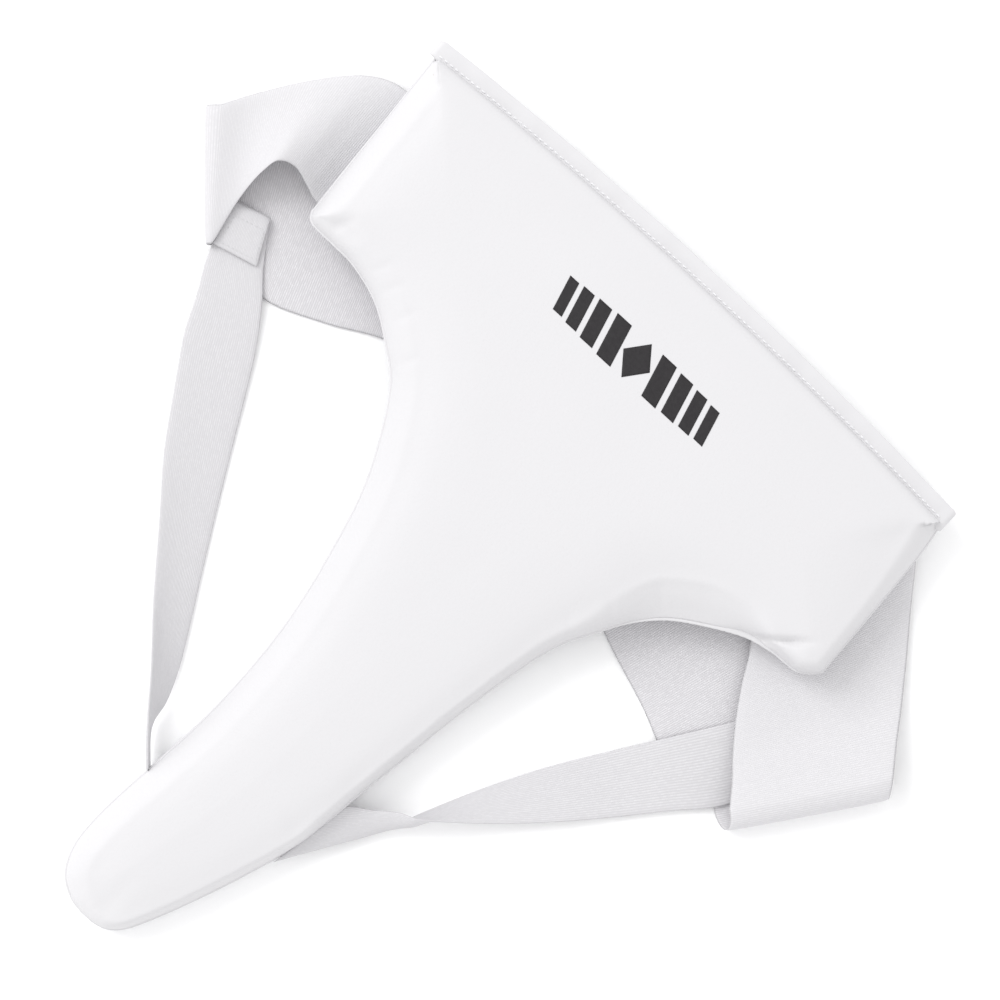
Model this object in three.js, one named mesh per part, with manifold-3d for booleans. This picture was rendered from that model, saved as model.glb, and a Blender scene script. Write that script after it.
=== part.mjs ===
// A groin protector for martial arts: a wide padded shield that covers the lower belly and narrows
// to a long tongue, worn on an elastic waistband and two elastic leg straps.
// It lies front up on a table, with its straps folded and twisted as they fall.
//
// Units are millimetres. +X runs along the shield's top edge to the wearer's left, +Y points up to
// the waist and +Z out of the front. "down" is the distance below the top edge, so y = -down.

import * as THREE from 'three';
import Module from 'manifold-3d';
import { mergeVertices } from 'three/addons/utils/BufferGeometryUtils.js';

const wasm = await Module();
wasm.setup();

// ---------------------------------------------------------------- driving dimensions

const GAP = 0.3;                 // clearance between pieces that touch

const PAD_TOP = 7.4;             // the padding starts this far below the hem's folded edge
const PAD_END = 376;             // the tongue's end
const TOP_HALF_WIDTH = 146;      // half the length of the top edge
const TOP_BOW = 5;               // the top edge is cut as a shallow arch
const WING_END = 97;             // the wings' lower edge

const RIM_HEIGHT = 7;            // the side seam above the pad's back
const FRONT_RISE = 10;           // the front face above the side seam
const SIDE_ROLL = 9;             // how far in the front face is rounded over
const TOP_ROLL = 5;              // the same along the hem
const BACK_ROLL = 6;             // the same on the back
const FACE_CROWN = 1.2;          // extra fullness of the face away from its edges
const CROWN_REACH = 40;

const WING_LIFT = 12;            // the wings rest on the folded waistband, this far off the table
const WING_DROOP = 3;            // their ends hang down by this much
const LIFT_END = 300;            // from here on the tongue lies on the table

const COVER = 1.2;               // coated fabric of the front
const LINING = 1.0;              // fabric of the back
const SEAM = 0.6;                // thickness of each skin in the side seam

const PLATE_CENTRE = [9, 152];   // across and down
const PLATE_RADII = [29, 78];
const PLATE_THICKNESS = 2.5;
const PLATE_DOME = 3;
const LINER_THICKNESS = 3;       // soft foam under the plate's rim
const POCKET_MARGIN = 0.5;

const HEM_WIDTH = 7;
const HEM_THICKNESS = 3.4;
const HEM_HEIGHT = 9.6;          // its middle above the pad's back
const HEM_ENDS = [-147, 151.5];

const WAISTBAND_THICKNESS = 1.6;
const LEG_STRAP_THICKNESS = 1.5;
const FOLD_RADIUS = 3.75;        // of the waistband's middle layer where it turns back under itself
const BAND_LOW = 1.1;            // middle of the waistband where it lies on the table
const BAND_HIGH = BAND_LOW + 2 * FOLD_RADIUS;

const THREAD = 0.7;

// How finely the solids are divided.
const SIDE_SAMPLES = 120;
const INNER_COLUMNS = 6;
const OVAL_ROWS = 14;
const OVAL_COLUMNS = 8;
const HEM_STATIONS = 30;
const HEM_COLUMNS = 4;
const WAISTBAND_STEPS = 116;
const WAISTBAND_COLUMNS = 3;
const LEG_STRAP_STEPS = 56;
const LEG_STRAP_COLUMNS = 2;
const THREAD_STEPS = 4;
const FOLD_DEGREES = [90, 60, 30, 0, -30, -60, -90];
const MERGE_TOLERANCE = 1e-4;

// ---------------------------------------------------------------- materials

const material = (color, roughness) => new THREE.MeshStandardMaterial({ color, roughness, metalness: 0 });
const COLOURS = {
  vinyl: [0xf1f1f4, 0.42],
  lining: [0xe9e9ec, 0.8],
  foam: [0xd8d4c4, 0.95],
  liner: [0xc9cdd2, 0.95],
  shell: [0xe4e2dc, 0.35],
  elastic: [0xdedee2, 0.9],
  thread: [0xf6f6f6, 0.7],
};

// ---------------------------------------------------------------- solids from matching surfaces

// Each section holds the same number of points on its upper and its lower side.
function solidBetween(sections) {
  const columns = sections[0].upper.length;
  const last = sections.length - 1;
  const positions = [];
  for (const { upper, lower } of sections) {
    for (const point of [...upper, ...lower]) positions.push(...point);
  }
  const up = (row, column) => row * 2 * columns + column;
  const low = (row, column) => up(row, column) + columns;
  const index = [];
  const quad = (a, b, c, d) => index.push(a, b, c, a, c, d);
  for (let row = 0; row < last; row += 1) {
    for (let column = 0; column < columns - 1; column += 1) {
      quad(up(row, column), up(row + 1, column), up(row + 1, column + 1), up(row, column + 1));
      quad(low(row, column), low(row, column + 1), low(row + 1, column + 1), low(row + 1, column));
    }
    quad(up(row, 0), low(row, 0), low(row + 1, 0), up(row + 1, 0));
    const edge = columns - 1;
    quad(up(row, edge), up(row + 1, edge), low(row + 1, edge), low(row, edge));
  }
  for (let column = 0; column < columns - 1; column += 1) {
    quad(up(0, column), up(0, column + 1), low(0, column + 1), low(0, column));
    quad(up(last, column), low(last, column), low(last, column + 1), up(last, column + 1));
  }
  const geometry = new THREE.BufferGeometry();
  geometry.setAttribute('position', new THREE.Float32BufferAttribute(positions, 3));
  geometry.setIndex(index);
  geometry.computeVertexNormals();
  return geometry;
}

function toManifold(geometry) {
  const bare = geometry.clone();
  bare.deleteAttribute('normal');
  const merged = mergeVertices(bare, MERGE_TOLERANCE);
  return new wasm.Manifold(new wasm.Mesh({
    numProp: 3,
    vertProperties: new Float32Array(merged.attributes.position.array),
    triVerts: new Uint32Array(merged.index.array),
  }));
}

function fromManifold(solid) {
  const mesh = solid.getMesh();
  const geometry = new THREE.BufferGeometry();
  geometry.setAttribute('position', new THREE.BufferAttribute(mesh.vertProperties, 3));
  geometry.setIndex(new THREE.BufferAttribute(mesh.triVerts, 1));
  geometry.computeVertexNormals();
  return geometry;
}

const assembly = new THREE.Group();

function addPiece(name, geometry, look) {
  const mesh = new THREE.Mesh(geometry, material(...COLOURS[look]));
  mesh.name = name;
  assembly.add(mesh);
}

// ---------------------------------------------------------------- the shield's outline

// Both sides run down from the top corners, round the wings' lower corners, along the leg cut-outs
// and down the tongue, which leans a little to one side. Points are [across, down].
const LEFT_SIDE = [
  [-144.7, 0], [-141.7, 45], [-138.9, 86], [-138.2, 92], [-134.5, 95.2], [-122, 95.7], [-110, 96.4],
  [-93, 101.5], [-78, 111], [-62, 125.5], [-44.2, 159], [-34.2, 194], [-28.4, 225], [-26.2, 252],
  [-26.2, 281], [-28.3, 306], [-30.6, 328], [-31.2, 346], [-29, 362.5], [-21, 372.4], [-12, 376.4],
];
const RIGHT_SIDE = [
  [145.5, 0], [149.6, 45], [153.3, 84], [153, 89], [150, 93.2], [142, 95.6], [131, 96.8],
  [117, 100.9], [94.5, 113.5], [82, 125.3], [72.5, 139.8], [63, 158], [56.5, 184], [51.8, 211],
  [48, 238], [44.2, 264], [40.5, 292], [32, 317], [22.4, 341.3], [13.5, 361], [6, 372.4], [-4, 376.4],
];

const sideCurve = (points) => new THREE.SplineCurve(points.map(([x, y]) => new THREE.Vector2(x, y)));
const leftPoints = sideCurve(LEFT_SIDE).getPoints(SIDE_SAMPLES);
const rightPoints = sideCurve(RIGHT_SIDE).getPoints(SIDE_SAMPLES);

const smoothstep = (from, to, value) => THREE.MathUtils.smoothstep(value, from, to);

// The top edge bows upwards in the middle; the bow dies out towards the leg cut-outs.
function bowed(across, down) {
  const middle = 1 - (across / TOP_HALF_WIDTH) ** 2;
  const fade = Math.max(0, 1 - down / WING_END);
  return down - TOP_BOW * Math.max(0, middle) * fade;
}

const outline = [...leftPoints, ...[...rightPoints].reverse()];
const segments = outline.slice(1).map((end, i) => [outline[i], end]);

function distanceToSides(across, down) {
  let best = Infinity;
  for (const [a, b] of segments) {
    const dx = b.x - a.x;
    const dy = b.y - a.y;
    const length = dx * dx + dy * dy;
    if (length === 0) continue;
    const t = THREE.MathUtils.clamp(((across - a.x) * dx + (down - a.y) * dy) / length, 0, 1);
    best = Math.min(best, Math.hypot(across - a.x - t * dx, down - a.y - t * dy));
  }
  return best;
}

function sideAt(points, down) {
  const next = points.findIndex((point, i) => i > 0 && point.y >= down);
  const a = points[next - 1];
  const b = points[next];
  return THREE.MathUtils.lerp(a.x, b.x, (down - a.y) / (b.y - a.y));
}

// ---------------------------------------------------------------- the shield's heights

// Height of the pad's back above the table.
function backBase(across, down) {
  const lift = WING_LIFT - WING_DROOP * (across / TOP_HALF_WIDTH) ** 2;
  return lift * (1 - smoothstep(WING_END, LIFT_END, down));
}

// Quarter-round edge: 0 at the seam, 1 where the face is flat.
const rolled = (t) => Math.sqrt(1 - (1 - THREE.MathUtils.clamp(t, 0, 1)) ** 2);

function frontHeight(across, down, fromSide, fromTop) {
  const edge = Math.min(rolled(fromSide / SIDE_ROLL), rolled(fromTop / TOP_ROLL));
  const inside = Math.min(fromSide, fromTop);
  const crown = FACE_CROWN * smoothstep(0, CROWN_REACH, inside);
  return backBase(across, down) + RIM_HEIGHT + FRONT_RISE * edge + crown;
}

function backHeight(across, down, fromSide, fromTop) {
  const edge = rolled(Math.min(fromSide, fromTop) / BACK_ROLL);
  return backBase(across, down) + RIM_HEIGHT * (1 - edge);
}

// ---------------------------------------------------------------- the shield's layers

// The grid's rows are close together where the outline turns: at the wings' ends and at the tip.
const evenly = (from, to, steps) => Array.from({ length: steps }, (_, i) => from + ((to - from) * i) / steps);
const ROWS = [
  ...evenly(PAD_TOP, 20, 4), ...evenly(20, 84, 4), ...evenly(84, 94.4, 4), ...evenly(97.6, 124, 8),
  ...evenly(124, 340, 13), ...evenly(340, 372, 7), ...evenly(372, PAD_END, 2), PAD_END,
];
const EDGE_OFFSETS = [0, 3, 7, 13]; // columns this far in from each side
const NARROW = 34;               // half-width below which the edge offsets shrink with the width

// The grid that every layer shares, so that neighbouring layers stay parallel.
function gridRow(down) {
  const left = sideAt(leftPoints, down);
  const right = sideAt(rightPoints, down);
  const half = (right - left) / 2;
  const offsets = EDGE_OFFSETS.map((offset) => offset * Math.min(1, half / NARROW));
  const start = left + offsets.at(-1);
  const end = right - offsets.at(-1);
  const inner = evenly(start, end, INNER_COLUMNS).slice(1);
  const across = [...offsets.map((offset) => left + offset), ...inner];
  across.push(...offsets.reverse().map((offset) => right - offset));
  return across.map((x, column) => {
    const onRim = column === 0 || column === across.length - 1 || down === PAD_TOP || down === PAD_END;
    const fromSide = onRim ? 0 : Math.min(distanceToSides(x, down), PAD_END - down + GAP);
    return { x, down, onRim, fromSide, fromTop: down - PAD_TOP };
  });
}
const GRID = ROWS.map(gridRow);

// A layer between two height functions over the grid, or over the grid without its rim.
function layer(upper, lower, rows) {
  const place = (spot, z) => [spot.x, -bowed(spot.x, spot.down), z];
  const sections = rows.map((row) => ({
    upper: row.map((spot) => place(spot, upper(spot))),
    lower: row.map((spot) => place(spot, lower(spot))),
  }));
  return solidBetween(sections);
}

const front = (spot) => frontHeight(spot.x, spot.down, spot.fromSide, spot.fromTop);
const back = (spot) => backHeight(spot.x, spot.down, spot.fromSide, spot.fromTop);
const seam = (spot) => backBase(spot.x, spot.down) + RIM_HEIGHT;

addPiece('front_cover', layer(
  (spot) => (spot.onRim ? seam(spot) + SEAM + GAP / 2 : front(spot)),
  (spot) => (spot.onRim ? seam(spot) + GAP / 2 : front(spot) - COVER),
  GRID,
), 'vinyl');

addPiece('back_lining', layer(
  (spot) => (spot.onRim ? seam(spot) - GAP / 2 : back(spot) + LINING),
  (spot) => (spot.onRim ? seam(spot) - SEAM - GAP / 2 : back(spot)),
  GRID,
), 'lining');

const insideRim = GRID.slice(1, -1).map((row) => row.slice(1, -1));
const foamBlock = layer(
  (spot) => front(spot) - COVER - GAP,
  (spot) => back(spot) + LINING + GAP,
  insideRim,
);

// ---------------------------------------------------------------- the plate and its liner

// An oval piece between two height functions of its own radius, which is 0 in the middle, 1 at the rim.
function oval(grow, upper, lower) {
  const [centreAcross, centreDown] = PLATE_CENTRE;
  const sections = [];
  for (let row = 0; row <= OVAL_ROWS; row += 1) {
    const along = -Math.cos((Math.PI * (row + 0.5)) / (OVAL_ROWS + 1));
    const half = Math.sqrt(1 - along * along);
    const spots = [];
    for (let column = 0; column <= OVAL_COLUMNS; column += 1) {
      const side = half * ((2 * column) / OVAL_COLUMNS - 1);
      const x = centreAcross + side * (PLATE_RADII[0] + grow);
      const down = centreDown + along * (PLATE_RADII[1] + grow);
      spots.push({ x, down, base: backBase(x, down), radius: Math.hypot(side, along) });
    }
    sections.push({
      upper: spots.map((spot) => [spot.x, -spot.down, spot.base + upper(spot.radius)]),
      lower: spots.map((spot) => [spot.x, -spot.down, spot.base + lower(spot.radius)]),
    });
  }
  return solidBetween(sections);
}

const dome = (radius) => PLATE_DOME * (1 - radius * radius);
const LINER_BOTTOM = LINING + 2 * GAP;
const LINER_TOP = LINER_BOTTOM + LINER_THICKNESS;
const PLATE_BOTTOM = LINER_TOP + GAP;
const PLATE_TOP = PLATE_BOTTOM + PLATE_THICKNESS;

const pocket = oval(POCKET_MARGIN, (r) => PLATE_TOP + POCKET_MARGIN + dome(r), () => -LINER_BOTTOM);
addPiece('main_foam', fromManifold(toManifold(foamBlock).subtract(toManifold(pocket))), 'foam');
addPiece('impact_plate', oval(0, (r) => PLATE_TOP + dome(r), (r) => PLATE_BOTTOM + dome(r)), 'shell');
addPiece('comfort_liner', oval(0, (r) => LINER_TOP + dome(r), () => LINER_BOTTOM), 'liner');

// ---------------------------------------------------------------- the folded hem along the top edge

const FLAT_ENDS = 0.45;          // thickness left at the hem's long edges, as a share of the whole

function hemSection(across, from, to, middle, thickness, columns) {
  const upper = [];
  const lower = [];
  for (let column = 0; column <= columns; column += 1) {
    const t = column / columns;
    const y = -bowed(across, THREE.MathUtils.lerp(to, from, t));
    const bulge = Math.sqrt(Math.abs(Math.sin(Math.PI * t)));
    const half = (thickness / 2) * THREE.MathUtils.lerp(FLAT_ENDS, 1, bulge);
    const z = backBase(across, 0) + middle;
    upper.push([across, y, z + half]);
    lower.push([across, y, z - half]);
  }
  return { upper, lower };
}

function hemStrip(ends, from, to, middle, thickness, columns) {
  const sections = [];
  for (let station = 0; station <= HEM_STATIONS; station += 1) {
    const across = THREE.MathUtils.lerp(ends[0], ends[1], station / HEM_STATIONS);
    sections.push(hemSection(across, from, to, middle, thickness, columns));
  }
  return solidBetween(sections);
}

addPiece('top_hem', hemStrip(HEM_ENDS, 0, HEM_WIDTH, HEM_HEIGHT, HEM_THICKNESS, HEM_COLUMNS), 'vinyl');
const HEM_THREAD_DOWN = 5.2;
const HEM_THREAD_ENDS = [-143, 144];
const HEM_THREAD_HEIGHT = HEM_HEIGHT + (HEM_THICKNESS + THREAD) / 2;
addPiece('hem_thread', hemStrip(
  HEM_THREAD_ENDS, HEM_THREAD_DOWN, HEM_THREAD_DOWN + THREAD, HEM_THREAD_HEIGHT, THREAD, 1,
), 'thread');

// ---------------------------------------------------------------- bands through pairs of edge points

// A band's route is a list of [first edge point, second edge point], each [across, down, height].
// Between them the band is a ruled sheet, thickened to both sides.
function bandSolid(route, thickness, steps, columns) {
  const toVector = ([across, down, z]) => new THREE.Vector3(across, -down, z);
  const first = new THREE.CatmullRomCurve3(route.map(([a]) => toVector(a)), false, 'centripetal');
  const second = new THREE.CatmullRomCurve3(route.map(([, b]) => toVector(b)), false, 'centripetal');
  const sections = [];
  for (let step = 0; step <= steps; step += 1) {
    const t = step / steps;
    const a = first.getPoint(t);
    const b = second.getPoint(t);
    const along = first.getTangent(t).add(second.getTangent(t));
    const normal = along.cross(b.clone().sub(a)).normalize();
    const shift = normal.multiplyScalar(thickness / 2);
    const upper = [];
    const lower = [];
    for (let column = 0; column <= columns; column += 1) {
      const point = a.clone().lerp(b, column / columns);
      upper.push(point.clone().add(shift).toArray());
      lower.push(point.clone().sub(shift).toArray());
    }
    sections.push({ upper, lower });
  }
  return solidBetween(sections);
}

// The half turn where a band folds back under itself, round the line between two points.
function foldStations(outer, inner, towards, radius, middle) {
  const stations = [];
  for (const degrees of FOLD_DEGREES) {
    const angle = THREE.MathUtils.degToRad(degrees);
    const reach = radius * Math.cos(angle);
    const z = middle + radius * Math.sin(angle);
    const move = ([across, down]) => [across + towards[0] * reach, down + towards[1] * reach, z];
    stations.push([move(outer), move(inner)]);
  }
  return stations;
}

const FOLD_MIDDLE = (BAND_LOW + BAND_HIGH) / 2;
const leftFold = foldStations([-196.8, 84.7], [-157.8, 128.3], [-0.745, 0.667], FOLD_RADIUS, FOLD_MIDDLE);
const rightFold = foldStations([209, 106.2], [168.3, 160.8], [0.802, 0.598], FOLD_RADIUS, FOLD_MIDDLE);

// The waistband is one elastic: from behind the left wing out to the left fold, back under the
// shield in an arch, round the right fold and up to the back of the right wing.
const waistbandRoute = [
  [[-118, 20, 8.4], [-118, 85, 8.4]],
  [[-143.8, 26.2, 7.2], [-140.3, 87, 7.2]],
  [[-152, 28.8, 7], [-148.5, 84.3, 9]],
  [[-161, 34.5, 7], [-156.5, 82.2, 11.5]],
  [[-171, 46, 7.2], [-163, 85.5, 12.5]],
  [[-181, 59, 7.6], [-165, 94, 11]],
  [[-189.5, 72, 8], [-163.6, 108, 9.2]],
  ...leftFold,
  [[-178, 76, BAND_LOW], [-146, 131, BAND_LOW]],
  [[-152, 70, BAND_LOW], [-128.6, 132.6, BAND_LOW]],
  [[-127, 59, BAND_LOW], [-103, 122.5, BAND_LOW]],
  [[-99, 47, BAND_LOW], [-78.8, 110, BAND_LOW]],
  [[-52, 34, BAND_LOW], [-40, 100, BAND_LOW]],
  [[0, 36, BAND_LOW], [0, 103, BAND_LOW]],
  [[48, 56, BAND_LOW], [38, 121, BAND_LOW]],
  [[91, 76, BAND_LOW], [74.3, 138.8, BAND_LOW]],
  [[130, 86, BAND_LOW], [112, 149.9, BAND_LOW]],
  [[165, 93, BAND_LOW], [143, 157, BAND_LOW]],
  ...[...rightFold].reverse(),
  [[197, 86.6, BAND_HIGH], [159, 150, BAND_HIGH]],
  [[188.9, 74.4, 8], [151.2, 141.1, 8.4]],
  [[176.5, 57.7, 7.6], [141, 128, 8.6]],
  [[164.9, 42.3, 7.2], [132.6, 115, 8.4]],
  [[154.2, 28.4, 7], [126.3, 103.4, 7.6]],
  [[143, 14, 7.2], [110, 83, 8.4]],
];
const waistband = bandSolid(waistbandRoute, WAISTBAND_THICKNESS, WAISTBAND_STEPS, WAISTBAND_COLUMNS);
addPiece('waistband', waistband, 'elastic');

// Each leg strap starts at its doubled end, which is sewn to the inside of the waistband, and
// turns on its way to the tongue's edge.
const TAB_HIGH = 4.9;
const TAB_LOW = 3;
const TAB_MIDDLE = (TAB_HIGH + TAB_LOW) / 2;

const leftLegStrapRoute = [
  [[-157.5, 126.5, TAB_HIGH], [-139.4, 124.9, TAB_HIGH]],
  [[-164.6, 112, TAB_HIGH], [-149.6, 107.5, TAB_HIGH]],
  [[-165.4, 110, TAB_MIDDLE], [-150.6, 105.5, TAB_MIDDLE]],
  [[-164.6, 112, TAB_LOW], [-149.6, 107.5, TAB_LOW]],
  [[-159.5, 127, TAB_LOW], [-138, 124, TAB_LOW]],
  [[-157.4, 137, TAB_LOW], [-129.4, 134, TAB_LOW]],
  [[-152, 151, 1.4], [-117.4, 151, 2.4]],
  [[-144.9, 166.4, 1], [-106.2, 170.9, 4]],
  [[-131, 188, 1], [-91, 199, 9]],
  [[-116.8, 209.4, 1], [-76, 226, 14]],
  [[-97, 234, 1.2], [-60, 254, 18]],
  [[-76.9, 259, 1.6], [-49, 274, 20]],
  [[-58, 280.5, 2], [-43, 289, 19]],
  [[-42.5, 297, 2.6], [-39.5, 299.5, 16]],
  [[-30.4, 309.6, 3.4], [-30, 310, 10.6]],
];

const rightLegStrapRoute = [
  [[142, 128, TAB_HIGH], [162.5, 151, TAB_HIGH]],
  [[149.5, 115.5, TAB_HIGH], [172, 137, TAB_HIGH]],
  [[150.6, 113.7, TAB_MIDDLE], [173.4, 135, TAB_MIDDLE]],
  [[149.5, 115.5, TAB_LOW], [172, 137, TAB_LOW]],
  [[141.2, 130.2, TAB_LOW], [164.2, 157, TAB_LOW]],
  [[124, 156, TAB_LOW], [147, 177, TAB_LOW]],
  [[112, 174, 3], [134, 192, 1.2]],
  [[99, 193.8, 7], [118.7, 208.6, 1]],
  [[84, 220, 16], [94.5, 232, 1]],
  [[70.6, 246.5, 22], [71.2, 250.6, 1.2]],
  [[61, 267, 17], [58, 256.5, 2]],
  [[51, 282, 8], [48, 263.6, 2]],
  [[41.4, 295, 2.4], [43.6, 268.4, 2.4]],
];
const legStraps = { left_leg_strap: leftLegStrapRoute, right_leg_strap: rightLegStrapRoute };
for (const [name, route] of Object.entries(legStraps)) {
  addPiece(name, bandSolid(route, LEG_STRAP_THICKNESS, LEG_STRAP_STEPS, LEG_STRAP_COLUMNS), 'elastic');
}

// ---------------------------------------------------------------- seams that hold the straps

// A short run of thread from one point to another, each [across, down, height].
function threadRun(from, to) {
  const side = new THREE.Vector2(to[0] - from[0], to[1] - from[1]).normalize().multiplyScalar(THREAD / 2);
  const pair = ([across, down, z]) => [
    [across - side.y, down + side.x, z],
    [across + side.y, down - side.x, z],
  ];
  return bandSolid([pair(from), pair(to)], THREAD, THREAD_STEPS, 1);
}

const TACK_HEIGHT = TAB_HIGH + LEG_STRAP_THICKNESS / 2 + GAP + THREAD / 2;
const BAND_SEAM_DROP = WAISTBAND_THICKNESS / 2 + GAP + THREAD / 2;
const LEFT_SEAM_HEIGHT = 8.1 - BAND_SEAM_DROP;             // under the band, whose middle is at 8.1
const RIGHT_SEAM_HEIGHTS = [6.9 - BAND_SEAM_DROP, 7.9 - BAND_SEAM_DROP];
const threads = {
  left_waistband_thread: [[-123, 24, LEFT_SEAM_HEIGHT], [-123, 82, LEFT_SEAM_HEIGHT]],
  right_waistband_thread: [[144, 22, RIGHT_SEAM_HEIGHTS[0]], [115, 82, RIGHT_SEAM_HEIGHTS[1]]],
  left_strap_thread: [[-156, 123, TACK_HEIGHT], [-142, 121.5, TACK_HEIGHT]],
  left_strap_end_thread: [[-160.5, 114.5, TACK_HEIGHT], [-149, 111, TACK_HEIGHT]],
  right_strap_thread: [[144.5, 128, TACK_HEIGHT], [161, 146.5, TACK_HEIGHT]],
  right_strap_end_thread: [[151, 119, TACK_HEIGHT], [168.5, 136, TACK_HEIGHT]],
};
for (const [name, [from, to]] of Object.entries(threads)) addPiece(name, threadRun(from, to), 'thread');

// ---------------------------------------------------------------- stand it on its lowest face

const box = new THREE.Box3().setFromObject(assembly);
const centre = box.getCenter(new THREE.Vector3());
assembly.position.set(-centre.x, -centre.y, -box.min.z);

export default assembly;
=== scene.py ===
"""The looks of a groin protector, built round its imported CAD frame.

Shapes are worked out in millimetres in the shield's own directions: across runs along its top edge,
down runs from the top edge to the tongue's tip, and z is the height above the table. place() turns
them into the row frame, in metres, with the top hem of the frame as the reference.
"""

import math

import bmesh
import bpy
import numpy as np
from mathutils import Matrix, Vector
from mathutils.bvhtree import BVHTree


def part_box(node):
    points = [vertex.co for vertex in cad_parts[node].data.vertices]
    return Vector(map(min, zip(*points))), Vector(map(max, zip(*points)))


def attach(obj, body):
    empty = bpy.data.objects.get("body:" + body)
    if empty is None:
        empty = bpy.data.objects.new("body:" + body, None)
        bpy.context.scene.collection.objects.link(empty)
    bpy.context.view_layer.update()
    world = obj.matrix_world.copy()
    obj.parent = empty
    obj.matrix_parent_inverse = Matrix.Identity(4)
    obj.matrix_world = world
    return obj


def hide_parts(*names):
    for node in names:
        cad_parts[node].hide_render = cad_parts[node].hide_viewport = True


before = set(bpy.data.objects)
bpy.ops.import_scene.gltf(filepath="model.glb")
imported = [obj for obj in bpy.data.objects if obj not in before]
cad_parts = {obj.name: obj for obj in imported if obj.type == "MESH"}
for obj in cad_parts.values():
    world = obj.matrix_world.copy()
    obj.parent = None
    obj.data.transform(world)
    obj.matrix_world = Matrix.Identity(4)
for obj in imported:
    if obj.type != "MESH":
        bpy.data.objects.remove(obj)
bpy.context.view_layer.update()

MM = 0.001

# ---------------- sizes shared with the frame

HEM_ENDS = (-147.0, 151.5)
TOP_BOW = 5.0
TOP_HALF_WIDTH = 146.0
WING_END = 97.0
LIFT_END = 300.0
WING_LIFT = 12.0
WING_DROOP = 3.0
PAD_TOP = 7.4
RIM_HEIGHT = 7.0
FRONT_RISE = 10.0
HEM_WIDTH = 7.0
HEM_HEIGHT = 9.6

LEFT_SIDE = [
    (-144.7, 0), (-141.7, 45), (-138.9, 86), (-138.2, 92), (-134.5, 95.2), (-122, 95.7),
    (-110, 96.4), (-93, 101.5), (-78, 111), (-62, 125.5), (-44.2, 159), (-34.2, 194), (-28.4, 225),
    (-26.2, 252), (-26.2, 281), (-28.3, 306), (-30.6, 328), (-31.6, 346), (-30.4, 360),
    (-25.2, 371), (-16.5, 377), (-9, 378.6),
]
RIGHT_SIDE = [
    (146.6, 0), (150, 18), (151.9, 45), (153.8, 84), (153.9, 88.4), (150.4, 92.6), (145.4, 95.6),
    (140, 96.2), (131, 96.9),
    (117, 100.9), (94.5, 113.5), (82, 125.3), (72.5, 139.8), (63, 158), (56.5, 184), (51.8, 211),
    (48, 238), (44.2, 264), (40.7, 292), (32.8, 317), (23.8, 341.3), (15.2, 361), (9.4, 371.6),
    (3.6, 376.8), (-3, 378.6),
]

hem_low, hem_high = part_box("top_hem")
ACROSS_ZERO = hem_low.x - HEM_ENDS[0] * MM
DOWN_ZERO = hem_high.y - TOP_BOW * MM


def place(across, down, z):
    """Points in the row frame, in metres."""
    return np.stack([ACROSS_ZERO + across * MM, DOWN_ZERO - down * MM, z * MM], axis=-1)


def smoothstep(low, high, value):
    t = np.clip((value - low) / (high - low), 0, 1)
    return t * t * (3 - 2 * t)


def bowed(across, down):
    """The top edge is cut as a shallow arch, which dies out towards the leg cut-outs."""
    middle = np.maximum(0, 1 - (across / TOP_HALF_WIDTH) ** 2)
    return down - TOP_BOW * middle * np.maximum(0, 1 - down / WING_END)


def back_base(across, down):
    """Height of the pad's back: the wings rest on the folded waistband."""
    lift = WING_LIFT - WING_DROOP * (across / TOP_HALF_WIDTH) ** 2
    return lift * (1 - smoothstep(WING_END, LIFT_END, down))


# ---------------- curves and meshes


def side_curve(points, per_span=12):
    """A smooth plane curve through points, as the frame's outline has it."""
    p = np.array(points, float)
    p = np.concatenate([p[:1], p, p[-1:]])
    t = np.linspace(0, 1, per_span, endpoint=False)[:, None]
    spans = []
    for a, b, c, d in zip(p, p[1:], p[2:], p[3:]):
        start, end = (c - a) / 2, (d - b) / 2
        cubic = (2 * b - 2 * c + start + end) * t**3
        spans.append(cubic + (-3 * b + 3 * c - 2 * start - end) * t**2 + start * t + b)
    return np.concatenate([*spans, p[-1:]])


def space_curve(points, per_span=40):
    """A smooth curve through points in space, with centripetal spacing."""
    p = np.array(points, float)
    p = np.concatenate([2 * p[:1] - p[1:2], p, 2 * p[-1:] - p[-2:-1]])
    t = np.linspace(0, 1, per_span, endpoint=False)[:, None]
    spans = []
    for a, b, c, d in zip(p, p[1:], p[2:], p[3:]):
        before, here, after = (math.sqrt(np.linalg.norm(v)) for v in (b - a, c - b, d - c))
        start = ((b - a) / before - (c - a) / (before + here) + (c - b) / here) * here
        end = ((c - b) / here - (d - b) / (here + after) + (d - c) / after) * here
        cubic = (2 * b - 2 * c + start + end) * t**3
        spans.append(cubic + (-3 * b + 3 * c - 2 * start - end) * t**2 + start * t + b)
    return np.concatenate([*spans, p[-2:-1]])


def lengths_along(line):
    steps = np.linalg.norm(np.diff(line, axis=0), axis=1)
    return np.concatenate([[0], np.cumsum(steps)])


def at_lengths(line, along, wanted):
    return np.stack([np.interp(wanted, along, line[:, k]) for k in range(line.shape[1])], axis=1)


def add_object(name, vertices, faces, material):
    """A smooth-shaded object whose faces all look outward."""
    mesh = bpy.data.meshes.new(name)
    mesh.from_pydata(np.asarray(vertices).tolist(), [], faces)
    bm = bmesh.new()
    bm.from_mesh(mesh)
    bmesh.ops.recalc_face_normals(bm, faces=bm.faces)
    bm.to_mesh(mesh)
    bm.free()
    mesh.materials.append(material)
    mesh.polygons.foreach_set("use_smooth", np.ones(len(mesh.polygons), bool))
    mesh.update()
    made = bpy.data.objects.new(name, mesh)
    bpy.context.scene.collection.objects.link(made)
    return made


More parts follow.
